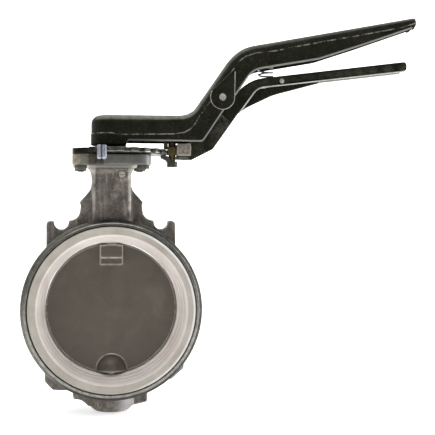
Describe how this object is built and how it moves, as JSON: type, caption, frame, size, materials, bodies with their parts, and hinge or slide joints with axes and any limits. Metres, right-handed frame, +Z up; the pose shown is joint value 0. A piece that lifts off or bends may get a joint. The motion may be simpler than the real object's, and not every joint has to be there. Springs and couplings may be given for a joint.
{
  "type": "butterfly valve",
  "caption": "Wafer butterfly valve with a notched body ring, white rubber seat, round disc, square top flange and a cranked lever handle with a squeeze latch.",
  "frame": {"origin": "where the stem axis crosses the pipe axis, at the centre of the disc and of the body ring", "axes": "+Z up the stem towards the handle, +Y along the pipe axis away from the front face, +X along the handle as it points when the valve is closed"},
  "size_m": [0.304, 0.0722, 0.3004],
  "materials": {
    "cast_body": "rough sand-cast, machined on the pipe faces",
    "seat_rubber": "smooth off-white moulded rubber",
    "bronze": "turned bronze",
    "black_rubber": "smooth",
    "turned_steel": "turned",
    "zinc_steel": "bright zinc plate",
    "bright_steel": "bright",
    "dull_steel": "dull, slightly dirty",
    "disc_metal": "satin taupe coating",
    "black_paint": "near-black olive paint, worn at the edges",
    "black_screw": "black oxide",
    "rough_cast": "rough tan casting",
    "yellow_zinc": "yellow passivated zinc"
  },
  "bodies": {
    "valve_body": {"body": "cast_body", "seat_liner": "seat_rubber", "column_bushings": "bronze", "stem_seals": "black_rubber", "gland_ring": "turned_steel", "lower_bushing": "bronze", "lower_seal": "black_rubber", "bottom_plug": "turned_steel", "column_screw": "bright_steel", "notch_plate": "zinc_steel", "stop_pins": "zinc_steel", "flange_screws": "dull_steel", "flange_nuts": "dull_steel"},
    "rotor": {"disc": "disc_metal", "disc_set_screws": "turned_steel", "upper_stem": "turned_steel", "lower_stem": "turned_steel", "retaining_ring": "dull_steel", "thrust_washer": "zinc_steel", "handle": "black_paint", "handle_washer": "zinc_steel", "handle_screw": "black_screw", "pivot_pin": "bright_steel", "pivot_spacers": "zinc_steel", "trigger_spring": "bright_steel"},
    "trigger": {"trigger": "black_paint", "trigger_rivet": "bright_steel", "latch_block": "rough_cast", "block_screw": "dull_steel", "latch_tooth": "zinc_steel", "latch_bolt": "yellow_zinc", "latch_keeper": "dull_steel"}
  },
  "joints": [
    {"name": "handle_turn", "type": "hinge", "parent": "valve_body", "child": "rotor", "pos_m": [0, 0, 0], "axis": [0, 0, -1], "range_deg": [0, 90]},
    {"name": "trigger_squeeze", "type": "hinge", "parent": "rotor", "child": "trigger", "pos_m": [0.0833, 0, 0.1587], "axis": [0, -1, 0], "range_deg": [0, 7], "stiffness_Nm_per_rad": 2.5, "springref_deg": -8.02, "deforming": ["trigger_spring"]}
  ]
}
